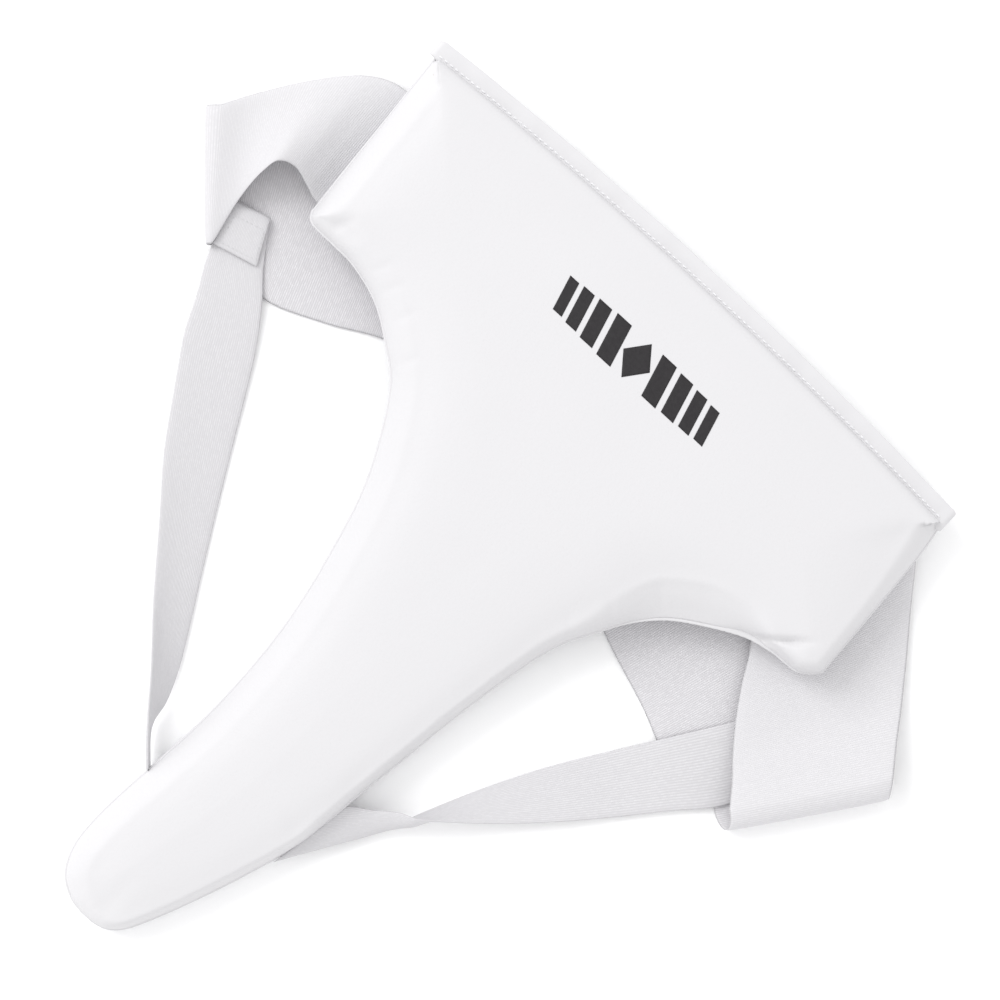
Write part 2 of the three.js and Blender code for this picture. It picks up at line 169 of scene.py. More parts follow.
def ring_faces(stations, around):
    """Faces of a closed tube whose rings follow one another, with its two ends closed."""
    faces = []
    for i in range(stations - 1):
        for j in range(around):
            k = (j + 1) % around
            faces.append((i * around + j, i * around + k, (i + 1) * around + k, (i + 1) * around + j))
    last = (stations - 1) * around
    faces.append(tuple(range(around - 1, -1, -1)))
    faces.append(tuple(range(last, last + around)))
    return faces


def shown_mesh(thing):
    """The mesh that an object has after its modifiers."""
    graph = bpy.context.evaluated_depsgraph_get()
    return bpy.data.meshes.new_from_object(thing.evaluated_get(graph))


def coordinates(mesh):
    flat = np.zeros(len(mesh.vertices) * 3)
    mesh.vertices.foreach_get("co", flat)
    return flat.reshape(-1, 3)


def set_coordinates(mesh, points):
    mesh.vertices.foreach_set("co", np.ascontiguousarray(points, dtype=np.float32).ravel())
    mesh.update()


# ---------------- materials


class Look:
    """A material's node tree, with a short call for each kind of node."""

    def __init__(self, name, roughness, **inputs):
        self.material = bpy.data.materials.new(name)
        self.material.use_nodes = True
        self.tree = self.material.node_tree
        self.shader = self.tree.nodes["Principled BSDF"]
        self.shader.inputs["Roughness"].default_value = roughness
        for socket, value in inputs.items():
            self.shader.inputs[socket.replace("_", " ")].default_value = value

    def node(self, kind, links=None, **settings):
        made = self.tree.nodes.new(kind)
        for key, value in settings.items():
            if key in made.inputs.keys():
                made.inputs[key].default_value = value
            else:
                setattr(made, key, value)
        for socket, source in (links or {}).items():
            self.tree.links.new(source, made.inputs[socket])
        return made

    def coordinate(self):
        return self.node("ShaderNodeTexCoord").outputs["Object"]

    def noise(self, scale, detail=3.0):
        links = {"Vector": self.coordinate()}
        return self.node("ShaderNodeTexNoise", links, Scale=scale, Detail=detail).outputs["Fac"]

    def math(self, operation, *values):
        made = self.node("ShaderNodeMath", operation=operation)
        for i, value in enumerate(values):
            if isinstance(value, (int, float)):
                made.inputs[i].default_value = value
            else:
                self.tree.links.new(value, made.inputs[i])
        return made.outputs[0]

    def blend(self, fac, low, high):
        made = self.node("ShaderNodeMix", {"Factor": fac}, data_type="RGBA")
        for socket, value in ((6, low), (7, high)):
            if isinstance(value, tuple):
                made.inputs[socket].default_value = (*value, 1)
            else:
                self.tree.links.new(value, made.inputs[socket])
        return made.outputs[2]

    def range(self, source, low, high):
        links = {"Value": source}
        return self.node("ShaderNodeMapRange", links, **{"To Min": low, "To Max": high}).outputs[0]

    def set(self, socket, source):
        self.tree.links.new(source, self.shader.inputs[socket])

    def bump(self, height, distance, strength=1.0):
        """Adds a relief of that depth in metres, on top of those added before."""
        links = {"Height": height}
        before = self.shader.inputs["Normal"].links
        if before:
            links["Normal"] = before[0].from_socket
        made = self.node("ShaderNodeBump", links, Distance=distance, Strength=strength)
        self.set("Normal", made.outputs["Normal"])


def vinyl_look():
    """Smooth white coated fabric: a faint pebble grain, fine pores and slightly uneven gloss."""
    look = Look("vinyl", 0.5, Specular_IOR_Level=0.35)
    cloud = look.noise(9.0, 2.0)
    fine = look.noise(420.0, 4.0)
    tint = look.blend(cloud, (0.652, 0.646, 0.66), (0.668, 0.662, 0.676))
    look.set("Base Color", look.blend(look.range(fine, 0.0, 0.12), tint, (0.62, 0.614, 0.63)))
    look.set("Roughness", look.range(look.noise(60.0, 4.0), 0.42, 0.6))
    pores = look.node("ShaderNodeTexVoronoi", {"Vector": look.coordinate()}, Scale=900.0)
    look.bump(pores.outputs["Distance"], 0.00006, 0.6)
    look.bump(fine, 0.00008, 0.7)
    look.bump(look.noise(38.0, 2.0), 0.0005, 0.35)
    return look.material


def lining_look():
    """Plain-woven white lining."""
    look = Look("lining", 0.9, Sheen_Weight=0.15)
    place_of = look.coordinate()
    waves = []
    for direction in ("X", "Y"):
        waves.append(look.node(
            "ShaderNodeTexWave", {"Vector": place_of}, bands_direction=direction,
            Scale=430.0, Distortion=0.6, Detail=1.0,
        ).outputs["Fac"])
    weave = look.math("MULTIPLY", waves[0], waves[1])
    tint = look.blend(look.noise(14.0), (0.73, 0.73, 0.75), (0.79, 0.79, 0.81))
    look.set("Base Color", look.blend(weave, (0.66, 0.66, 0.68), tint))
    look.bump(weave, 0.00015, 0.8)
    look.bump(look.noise(55.0, 2.0), 0.0008, 0.4)
    return look.material


def elastic_look(name, light, dark, pitch):
    """Woven elastic: fine ribs, each of them a row of short dashes of yarn."""
    look = Look(name, 0.85, Sheen_Weight=0.1)
    along_ribs = look.node("ShaderNodeUVMap", uv_map="weave").outputs["UV"]
    dashes = look.node(
        "ShaderNodeTexBrick", {"Vector": along_ribs}, offset=0.37, squash=1.0, Scale=1.0,
        **{"Color1": (1, 1, 1, 1), "Color2": (0.4, 0.4, 0.4, 1), "Mortar": (0.25, 0.25, 0.25, 1),
           "Mortar Size": pitch * 0.07, "Mortar Smooth": 0.6, "Bias": -0.05,
           "Brick Width": pitch * 1.7, "Row Height": pitch},
    ).outputs["Color"]
    rib_turn = look.math("MULTIPLY", look.node(
        "ShaderNodeSeparateXYZ", {"Vector": along_ribs},
    ).outputs["Y"], math.tau / pitch)
    rib = look.math("MULTIPLY_ADD", look.math("COSINE", rib_turn, 0.0), -0.5, 0.5)
    fibre = look.node(
        "ShaderNodeTexNoise", {"Vector": along_ribs}, Scale=1800.0, Detail=2.0,
    ).outputs["Fac"]
    yarn = look.math("MULTIPLY", look.math("MULTIPLY", dashes, rib), look.range(fibre, 0.8, 1.2))
    patchy = look.noise(26.0, 3.0)
    body = look.blend(patchy, light, tuple(c * 1.035 for c in light))
    look.set("Base Color", look.blend(yarn, dark, body))
    look.set("Roughness", look.range(fibre, 0.75, 0.95))
    look.bump(look.math("MULTIPLY", rib, look.range(dashes, 0.4, 1.0)), 0.00012, 0.6)
    return look.material


def thread_look(name, dark, light):
    look = Look(name, 0.6, Sheen_Weight=0.2)
    twist = look.node(
        "ShaderNodeTexWave", {"Vector": look.coordinate()}, bands_direction="DIAGONAL", Scale=900.0,
    ).outputs["Fac"]
    look.set("Base Color", look.blend(twist, dark, light))
    look.bump(twist, 0.0001)
    return look.material


def print_look():
    """Matt black print, with the coated fabric's grain showing through it."""
    look = Look("print", 0.55, Specular_IOR_Level=0.3)
    speckle = look.noise(700.0, 3.0)
    look.set("Base Color", look.blend(speckle, (0.014, 0.012, 0.014), (0.03, 0.028, 0.03)))
    look.set("Roughness", look.range(look.noise(90.0), 0.45, 0.7))
    look.bump(look.noise(420.0, 4.0), 0.00008, 0.6)
    return look.material


def foam_look(name, light, dark, cell):
    look = Look(name, 0.95)
    cells = look.node("ShaderNodeTexVoronoi", {"Vector": look.coordinate()}, Scale=1 / cell)
    look.set("Base Color", look.blend(cells.outputs["Distance"], dark, light))
    look.bump(cells.outputs["Distance"], cell * 0.5, 0.8)
    return look.material


def shell_look():
    """Moulded natural plastic with a faint flow pattern."""
    look = Look("shell", 0.35)
    flow = look.node(
        "ShaderNodeTexWave", {"Vector": look.coordinate()}, Scale=24.0, Distortion=5.0, Detail=2.0,
    ).outputs["Fac"]
    look.set("Base Color", look.blend(flow, (0.78, 0.76, 0.72), (0.84, 0.83, 0.79)))
    look.set("Roughness", look.range(look.noise(200.0), 0.28, 0.45))
    look.bump(look.noise(900.0), 0.00005, 0.5)
    return look.material


def floor_look():
    look = Look("table", 0.9, Specular_IOR_Level=0.0)
    look.set("Base Color", look.blend(look.noise(3.0), (0.965, 0.965, 0.97), (0.975, 0.975, 0.98)))
    return look.material


WEAVE_PITCH = 0.95                # mm from rib to rib
vinyl = vinyl_look()
lining = lining_look()
elastic = elastic_look("elastic", (0.685, 0.677, 0.695), (0.605, 0.597, 0.615), WEAVE_PITCH * MM)
# A darker copy of the elastic for the waistband's inner face: painted shade, standing in for the shadow
# that face lies in.
elastic_inside_painted_shade = elastic_look("elastic_inside_painted_shade", (0.71, 0.70, 0.72), (0.55, 0.54, 0.56), WEAVE_PITCH * MM)
leg_elastic = elastic_look("leg_elastic", (0.655, 0.648, 0.665), (0.56, 0.552, 0.57), WEAVE_PITCH * MM)
thread = thread_look("thread", (0.78, 0.78, 0.8), (0.9, 0.9, 0.91))
tab_thread = thread_look("tab_thread", (0.56, 0.56, 0.57), (0.66, 0.66, 0.67))
black_print = print_look()

# ---------------- the pad's outline and profile

SEAM_PROUD = 0.25                 # how far the seam's folded edge stands out past the pad
LIP_EXTRA = 1.8                   # how much further it stands out under the right leg's cut
LIP_MIDDLE = 119.0
LIP_REACH = 9.0
left_line = side_curve(LEFT_SIDE)
right_line = side_curve(RIGHT_SIDE)


def below(line, down):
    """The part of a side below that level, starting exactly on it."""
    start = np.interp(down, line[:, 1], line[:, 0])
    return np.concatenate([[(start, down)], line[line[:, 1] > down + 0.2]])


left_line = below(left_line, PAD_TOP)
right_line = below(right_line, PAD_TOP)
sides = np.concatenate([left_line, right_line[::-1]])
outline = np.concatenate([sides, sides[:1]])
ON_TOP_EDGE = len(outline) - 2    # the last segment closes the outline along the hem


class Edge:
    """Each point's nearest place on the outline: how far in it is and which way in is."""

    def __init__(self, across, down, chunk=4000):
        a, b = outline[:-1], outline[1:]
        step = b - a
        size = (step**2).sum(1)
        points = np.stack([across, down], axis=1)
        parts = []
        for start in range(0, len(points), chunk):
            p = points[start:start + chunk, None, :]
            t = np.clip(((p - a) * step).sum(2) / size, 0, 1)
            foot = a + t[..., None] * step
            away = np.linalg.norm(p - foot, axis=2)
            best = away.argmin(1)
            rows = np.arange(len(best))
            parts.append((away[rows, best], foot[rows, best], best))
        distance, self.foot, self.segment = (np.concatenate(x) for x in zip(*parts))
        direction = step / np.sqrt(size)[:, None]
        inward = np.stack([direction[:, 1], -direction[:, 0]], axis=1)[self.segment]
        offset = points - self.foot
        inside = (offset * inward).sum(1) > 0
        near = distance < 1e-6
        unit = offset / np.maximum(distance, 1e-6)[:, None] * np.where(inside, 1, -1)[:, None]
        self.inward = np.where(near[:, None], inward, unit)
        lip = LIP_EXTRA * np.exp(-(((self.foot[:, 0] - LIP_MIDDLE) / LIP_REACH) ** 2))
        lip = lip * (self.foot[:, 1] > 90)
        proud = np.where(self.segment == ON_TOP_EDGE, -0.2, SEAM_PROUD)
        self.distance = np.where(inside, distance, -distance) - proud - lip
        self.on_top = self.segment == ON_TOP_EDGE


def front_roll(edge):
    """Radius over which the front is rounded, and how square its corner is, round the outline."""
    across, down = edge.foot[:, 0], edge.foot[:, 1]
    right = smoothstep(-25, 15, across)
    corner = right * np.exp(-((down / 36) ** 2))
    radius = 11.0 - (5.2 + 2.2 * smoothstep(130, 200, down)) * right + 5.0 * corner
    power = 1.6 + 0.3 * right - 0.55 * corner
    lens = smoothstep(64, 90, across) * (1 - smoothstep(100, 136, across)) * (down > 94)
    radius = radius + 11.5 * lens
    power = power - 0.88 * lens
    radius = np.where(edge.on_top, 5.0, radius)
    power = np.where(edge.on_top, 2.0, power)
    return radius, power


BACK_ROLL = 6.0
BACK_POWER = 2.2


def on_profile(across, down, height):
    """Moves points near the rim onto the pad's rounded section, and the rest onto its two faces.
    height is above the side seam."""
    edge = Edge(across, down)
    front_radius, front_power = front_roll(edge)
    front = height > 0
    radius = np.where(front, front_radius, BACK_ROLL)
    power = np.where(front, front_power, BACK_POWER)
    depth = np.where(front, FRONT_RISE, RIM_HEIGHT)
    x = edge.distance / radius - 1
    y = height / depth
    rim = x < 0
    size = (np.abs(x) ** power + np.abs(y) ** power) ** (1 / power)
    size = np.maximum(size, 1e-6)
    new_distance = np.where(rim, (x / size + 1) * radius, edge.distance)
    new_height = np.where(rim, y / size, np.sign(height)) * depth
    shift = (new_distance - edge.distance)[:, None] * edge.inward
    return across + shift[:, 0], down + shift[:, 1], new_height, edge


# ---------------- creases and dimples of the cover


def furrow(across, down, start, end, depth, width, ends=0.25):
    """How far a straight furrow from start to end pulls the cover in; it fades out at its ends."""
    run = np.subtract(end, start)
    size = (run**2).sum()
    t = ((across - start[0]) * run[0] + (down - start[1]) * run[1]) / size
    held = np.clip(t, 0, 1)
    off = np.hypot(across - start[0] - held * run[0], down - start[1] - held * run[1])
    fade = smoothstep(-0.02, ends, t) * (1 - smoothstep(1 - ends, 1.02, t))
    return depth * fade * np.exp(-((off / width) ** 2))


def crease(across, down, route, depth, width):
    """A sharp furrow along a broken line, which fades out slowly towards its second end."""
    route = np.array(route, float)
    along = lengths_along(route)
    best = np.full(across.shape, np.inf)
    where = np.zeros(across.shape)
    for a, b, start, stop in zip(route, route[1:], along, along[1:]):
        run = b - a
        t = np.clip(((across - a[0]) * run[0] + (down - a[1]) * run[1]) / (run**2).sum(), 0, 1)
        off = np.hypot(across - a[0] - t * run[0], down - a[1] - t * run[1])
        nearer = off < best
        where = np.where(nearer, start + t * (stop - start), where)
        best = np.minimum(best, off)
    share = where / along[-1]
    fade = smoothstep(-0.12, 0.16, share) * (1 - smoothstep(0.6, 1.0, share))
    return depth * fade * np.exp(-((best / width) ** 2))


def swell(across, down, middle, radius, height):
    away = ((across - middle[0]) / radius[0]) ** 2 + ((down - middle[1]) / radius[1]) ** 2
    return height * np.exp(-away)


def ripple(across, down, seed, wave):
    """Gentle unevenness from a few sines in fixed directions."""
    rng = np.random.default_rng(seed)
    total = np.zeros_like(across)
    for _ in range(7):
        angle, phase = rng.uniform(0, math.tau, 2)
        stretch = rng.uniform(0.6, 1.6)
        run = across * math.cos(angle) + down * math.sin(angle)
        total += np.sin(run * math.tau / (wave * stretch) + phase)
    return total / 7


MAIN_FOLD = [(112, 104.2), (119.7, 99.7), (126.2, 95.0), (133, 89.4), (139.2, 84.2), (145.5, 79.2)]


def front_detail(across, down, edge_distance):
    """What the front adds to its plain section: fullness, creases at the wings' ends, puckers."""
    rise = 1.2 * smoothstep(0, 42, edge_distance)
    rise -= crease(across, down, MAIN_FOLD, 2.7, 1.35)
    rise += swell(across, down, (124, 91), (7, 5), 0.7)
    rise += swell(across, down, (142.6, 88.4), (6, 4), 1.2)
    rise -= crease(across, down, [(116, 102.6), (124, 98.4), (131, 94.4), (138, 91.6)], 1.0, 1.0)
    rise -= furrow(across, down, (-134.5, 86.2), (-112, 88.5), 1.5, 4.2, 0.4)
    rise -= furrow(across, down, (-127.5, 93.5), (-121, 80), 0.8, 2.4, 0.4)
    for x, y, reach in ((-101, 90.5, 8), (-92, 95, 9), (-80, 100, 9), (-66, 112, 8)):
        rise -= furrow(across, down, (x - 3, y + 6), (x + 5, y - reach), 0.28, 1.8, 0.45)
    for x, y in ((84, 113), (72, 131), (64, 148)):
        rise -= furrow(across, down, (x + 4, y + 3), (x - 9, y - 6), 0.22, 1.8, 0.45)
    rise += 0.16 * ripple(across, down, 3, 46)
    return rise


# ---------------- the pad: remeshed, inflated, finished

VOXEL = 4.7 * MM
PUFF_CAP = 2.2                    # mm that the front's cover may swell
BACK_PUFF = 0.35                  # the back swells by this share of it, since the foam lies on it
SIMULATED_FRAMES = 20


def flat_block(material):
    """A block with the pad's outline, in the flat space where the side seam is at height 0."""
    count = len(sides)
    lower = np.column_stack([sides, np.full(count, -RIM_HEIGHT)]) * MM
    upper = np.column_stack([sides, np.full(count, FRONT_RISE)]) * MM
    faces = [(i, (i + 1) % count, (i + 1) % count + count, i + count) for i in range(count)]
    faces.append(tuple(range(count - 1, -1, -1)))
    faces.append(tuple(range(count, 2 * count)))
    return add_object("flat_block", np.concatenate([lower, upper]), faces, material)


def remeshed_block():
    block = flat_block(vinyl)
    remesh = block.modifiers.new("remesh", "REMESH")
    remesh.mode = "VOXEL"
    remesh.voxel_size = VOXEL
    coarse = shown_mesh(block)
    bpy.data.objects.remove(block)
    points = coordinates(coarse) / MM
    x, y, h, _ = on_profile(*points.T)
    set_coordinates(coarse, np.stack([x, y, h], axis=1) * MM)
    return coarse


def inflated(coarse):
    """The same mesh after its cover has been blown up a little, with its side seam held."""
    start = coordinates(coarse)
    thing = bpy.data.objects.new("inflating", coarse.copy())
    bpy.context.scene.collection.objects.link(thing)
    edge = Edge(start[:, 0] / MM, start[:, 1] / MM)
    height = np.abs(start[:, 2]) / MM
    held = (edge.distance < 2.2) & (height < 4.5) | edge.on_top & (edge.distance < 4)
    group = thing.vertex_groups.new(name="held")
    group.add(np.nonzero(held)[0].tolist(), 1.0, "REPLACE")
    cloth = thing.modifiers.new("cloth", "CLOTH")
    settings = cloth.settings
    settings.quality = 6
    settings.use_pressure = True
    settings.uniform_pressure_force = 4.0
    settings.effector_weights.gravity = 0
    settings.tension_stiffness = 18
    settings.compression_stiffness = 12
    settings.bending_stiffness = 1.2
    settings.vertex_group_mass = group.name
    cloth.point_cache.frame_start = 1
    cloth.point_cache.frame_end = SIMULATED_FRAMES
    for step in range(1, SIMULATED_FRAMES + 1):
        bpy.context.scene.frame_set(step)
    blown = shown_mesh(thing)
    end = coordinates(blown)
    bpy.context.scene.frame_set(1)
    bpy.data.objects.remove(thing)
    move = (end - start) / MM
    size = np.linalg.norm(move, axis=1, keepdims=True)
    return move * PUFF_CAP * np.tanh(size / PUFF_CAP) / np.maximum(size, 1e-9)


def subdivided(mesh, levels):
    thing = bpy.data.objects.new("subdividing", mesh)
    bpy.context.scene.collection.objects.link(thing)
    smooth = thing.modifiers.new("subdivision", "SUBSURF")
    smooth.levels = levels
    smooth.render_levels = levels
    fine = shown_mesh(thing)
    bpy.data.objects.remove(thing)
    return fine


def half_of(mesh, front):
    """The front or the back half, cut exactly along the side seam."""
    bm = bmesh.new()
    bm.from_mesh(mesh)
    everything = [*bm.verts, *bm.edges, *bm.faces]
    bmesh.ops.bisect_plane(
        bm, geom=everything, dist=1e-7, plane_co=(0, 0, 0), plane_no=(0, 0, 1),
        clear_inner=front, clear_outer=not front,
    )
    half = bpy.data.meshes.new("half")
    bm.to_mesh(half)
    bm.free()
    return half


def stand_up(points):
    """From the flat space to the row frame."""
    across, down, height = points.T
    z = back_base(across, down) + RIM_HEIGHT + height
    return place(across, bowed(across, down), np.maximum(z, 0.02))


coarse_pad = remeshed_block()
puff = inflated(coarse_pad)
FINE_LEVELS = 2
coarse_points = coordinates(coarse_pad)
swollen = coarse_pad.copy()
set_coordinates(swollen, coarse_points + puff * MM)
plain_fine = subdivided(coarse_pad.copy(), FINE_LEVELS)
plain_points = coordinates(plain_fine) / MM
fine_puff = coordinates(subdivided(swollen, FINE_LEVELS)) / MM - plain_points

across, down, height, rim = on_profile(*plain_points.T)
inner = np.maximum(rim.distance, 0)
is_front = smoothstep(-1, 3, height)
height = height + is_front * smoothstep(0.3, 4.0, height) * front_detail(across, down, inner)
height = height - (1 - is_front) * 0.25 * smoothstep(-2, -6, height) * ripple(across, down, 5, 30)
share = is_front + (1 - is_front) * BACK_PUFF
held = smoothstep(0, 3, inner + np.abs(height))[:, None]
final = np.stack([across, down, height], axis=1) + fine_puff * share[:, None] * held
set_coordinates(plain_fine, final * MM)

COVER = 1.1
LINING = 0.9


def pad_object(name, mesh, points, material):
    """The mesh as an object of its own, moved from the flat space to the row frame."""
    set_coordinates(mesh, stand_up(points))
    mesh.flip_normals()
    mesh.materials.clear()
    mesh.materials.append(material)
    made = bpy.data.objects.new(name, mesh)
    mesh.name = name
    bpy.context.scene.collection.objects.link(made)
    return made


def shell_piece(name, front, thickness, material, node):
    half = half_of(plain_fine, front)
    half.polygons.foreach_set("use_smooth", np.ones(len(half.polygons), bool))
    piece = pad_object(name, half, coordinates(half) / MM, material)
    wall = piece.modifiers.new("wall", "SOLIDIFY")
    wall.thickness = thickness * MM
    wall.offset = -1
    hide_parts(node)
    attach(piece, "root")
    return piece


cover = shell_piece("pad_cover", True, COVER, vinyl, "front_cover")
shell_piece("pad_lining", False, LINING, lining, "back_lining")

# ---------------- foam core inside the cover

CORE_INSET = 1.7
CORE_HEIGHT = 0.78                # of its height and width, so that it stays inside the cover
CORE_WIDTH = 0.985
CORE_RAISE = 0.4
POCKET_GROW = 0.5
PLATE_CENTRE = (9.0, 152.0)
PLATE_RADII = (29.0, 78.0)
POCKET_FLOOR = 1.2
POCKET_ROOF = 11.2


def foam_core():
    """The cut foam sheet, a little smaller than its cover, with the pocket for the plate."""
    points = coordinates(coarse_pad) / MM
    edge = Edge(points[:, 0], points[:, 1])
    nearness = 1 - smoothstep(6, 16, edge.distance)
    shift = edge.inward * (nearness * CORE_INSET * 1.6)[:, None]
    moved = np.column_stack([points[:, :2] + shift, points[:, 2] * CORE_HEIGHT])
    moved[:, 0] *= CORE_WIDTH
    moved[:, 1] += 2.5 * (1 - smoothstep(8, 24, points[:, 1]))
    dent = crease(moved[:, 0], moved[:, 1], MAIN_FOLD, 5.0, 9.0)
    raised = np.maximum(moved[:, 2] + CORE_RAISE - dent, CORE_RAISE)
    moved[:, 2] = np.where(points[:, 2] > 0, raised, moved[:, 2])
    foam = foam_look("foam", (0.72, 0.70, 0.62), (0.6, 0.58, 0.5), 0.0011)
    core = pad_object("foam_core", coarse_pad.copy(), moved, foam)
    rows, columns = 20, 40
    ring = np.linspace(0, math.tau, columns, endpoint=False)
    stations = []
    for level in np.linspace(-1, 1, rows):
        size = (1 - abs(level) ** 8) ** 0.125
        x = PLATE_CENTRE[0] + np.cos(ring) * (PLATE_RADII[0] + POCKET_GROW) * max(size, 0.2)
        y = PLATE_CENTRE[1] + np.sin(ring) * (PLATE_RADII[1] + POCKET_GROW) * max(size, 0.2)
        mid, half = (POCKET_ROOF + POCKET_FLOOR) / 2, (POCKET_ROOF - POCKET_FLOOR) / 2
        stations.append(place(x, bowed(x, y), back_base(x, y) + mid + level * half))
    cutter = add_object("pocket", np.concatenate(stations), ring_faces(rows, columns), vinyl)
    cut = core.modifiers.new("pocket", "BOOLEAN")
    cut.object = cutter
    cut.operation = "DIFFERENCE"
    cut.solver = "EXACT"
    core.data = shown_mesh(core)
    core.modifiers.clear()
    bpy.data.objects.remove(cutter)
    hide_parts("main_foam")
    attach(core, "root")


foam_core()
liner_foam = foam_look("liner_foam", (0.66, 0.69, 0.73), (0.5, 0.53, 0.58), 0.0006)
for carried, look in (("impact_plate", shell_look()), ("comfort_liner", liner_foam)):
    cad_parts[carried].data.materials.clear()
    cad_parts[carried].data.materials.append(look)

# ---------------- the side seam's folded edge


def seam_edge():
    """The folded edge that runs round the sides where the cover and the lining are sewn."""
    along = lengths_along(sides)
    step = 1.0
    wanted = np.arange(0, along[-1], step)
    line = at_lengths(sides, along, wanted)
    tangent = np.gradient(line, axis=0)
    tangent /= np.linalg.norm(tangent, axis=1, keepdims=True)
    inward = np.stack([tangent[:, 1], -tangent[:, 0]], axis=1)
    around = np.linspace(0, math.tau, 12, endpoint=False)
    pull = 1 + 0.05 * np.cos(wanted * math.tau / 3.1) + 0.08 * np.sin(wanted / 7.3)
    rings = []
    for i, (point, side) in enumerate(zip(line, inward)):
        lip = LIP_EXTRA * math.exp(-(((point[0] - LIP_MIDDLE) / LIP_REACH) ** 2)) * (point[1] > 90)
        half = (0.65 + lip / 2) * pull[i]
        reach = SEAM_PROUD + lip / 2 - np.cos(around) * half
        spot = point + np.outer(reach, side)
        lift = np.sin(around) * 0.55 * pull[i] + 0.12 * math.sin(wanted[i] / 11)
        rings.append(np.column_stack([spot, lift]))
    points = np.concatenate(rings)
    piece = add_object("seam_edge", stand_up(points), ring_faces(len(rings), 12), vinyl)
    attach(piece, "root")


seam_edge()

# ---------------- bands

RIB_STEPS = 4                     # stations for each rib
RIB_DEPTH = 0.014


def band(name, route, thickness, materials, node, columns=11, ribs_across=True, curl=None):
    """A flat woven band: a ruled sheet between two edge curves, with rounded selvedges.
    route is a list of (first edge point, second edge point), each (across, down, height).
    The ribs run across it or along it; ribs across are part of its shape. materials are those of
    its outside and, if it has one of its own, its inside. curl is where, over which length and
    which way its middle is pushed out where it stands on edge."""
    first = space_curve([a for a, _ in route])
    second = space_curve([b for _, b in route])
    along = lengths_along((first + second) / 2)
    wanted = np.arange(0, along[-1], WEAVE_PITCH / RIB_STEPS if ribs_across else 1.0)
    a, b = at_lengths(first, along, wanted), at_lengths(second, along, wanted)
    middle = (a + b) / 2
    direction = np.gradient(middle, axis=0)
    side = b - a
    width = np.linalg.norm(side, axis=1, keepdims=True)
    normal = np.cross(direction, side)
    normal /= np.linalg.norm(normal, axis=1, keepdims=True)
    wobble = 0.22 * np.sin(wanted / 13.0 + 1.0) + 0.16 * np.sin(wanted / 5.1)
    u = np.sin(np.linspace(-math.pi / 2, math.pi / 2, columns))
    half = thickness / 2 * (1 - np.abs(u) ** 8) ** 0.5
    depth = RIB_DEPTH if ribs_across else 0
    relief = -depth * np.cos(wanted * math.tau / WEAVE_PITCH)[:, None] * (1 - np.abs(u) ** 6)
    end = np.minimum(wanted, wanted[-1] - wanted)
    thin = np.sqrt(np.clip(end / thickness, 0.15, 1))[:, None]
    half = (half + relief) * thin
    trim = 1 - (0.5 * wobble / width[:, 0])[:, None]
    spread_u = u * trim
    base = middle[:, None, :] + spread_u[..., None] * side[:, None, :] / 2
    if curl:
        spot, reach, amount = curl
        away = np.linalg.norm(middle[:, :2] - spot, axis=1) / reach
        push = np.exp(-(away**2))[:, None, None] * (1 - u**2)[None, :, None]
        base = base + push * np.array([*amount, 0.0])
    upper = base + normal[:, None, :] * half[..., None]
    lower = base - normal[:, None, :] * half[..., None]
    rings = np.concatenate([upper, lower[:, -2:0:-1]], axis=1)
    around = rings.shape[1]
    points = rings.reshape(-1, 3)
    points[:, 2] = np.maximum(points[:, 2], 0.03)
    piece = add_object(name, place(*points.T), ring_faces(len(wanted), around), materials[0])
    # The second material, when given, is the darker copy that paints shade on the band's inner face.
    if len(materials) > 1:
        piece.data.materials.append(materials[1])
        round_it = np.arange(len(piece.data.polygons)) % around
        inside = (round_it < columns - 1).astype(np.int32)
        piece.data.polygons.foreach_set("material_index", inside)
    across_band = np.tile(np.concatenate([u, u[-2:0:-1]]), len(wanted)) * float(width.mean()) / 2 + 50
    along_band = np.repeat(wanted, around)
    order = [across_band, along_band] if ribs_across else [along_band, across_band]
    weave = np.stack(order, axis=1) * MM
    corner = np.zeros(len(piece.data.loops), np.int32)
    piece.data.loops.foreach_get("vertex_index", corner)
    layer = piece.data.uv_layers.new(name="weave")
    layer.data.foreach_set("uv", weave[corner].astype(np.float32).ravel())
    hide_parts(node)
    # This is the size of the band as modelled, and not the size that the elastic was cut to.
    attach(piece, "root")


BAND_LOW = 1.1


def fold(creased, reach, high, towards, slip=(0, 0)):
    """The half turn where the waistband folds back under itself. creased are the two ends of the
    fold's outermost line; reach, high and towards are how far in its centre lies at each end, how
    high its top is and which way it faces; slip is how far the lower layer's second edge has
    slipped sideways."""
    stations = []
    for angle in np.radians(np.arange(90, -91, -15)):
        station = []
        for (x, y), inward, top, way in zip(creased, reach, high, towards):
            out = inward * (math.cos(angle) - 1)
            middle, half = (top + BAND_LOW) / 2, (top - BAND_LOW) / 2
            station.append([x + way[0] * out, y + way[1] * out, middle + half * math.sin(angle)])
        share = (1 - math.sin(angle)) / 2
        station[1][0] += slip[0] * share
        station[1][1] += slip[1] * share
        stations.append(tuple(tuple(p) for p in station))
    return stations


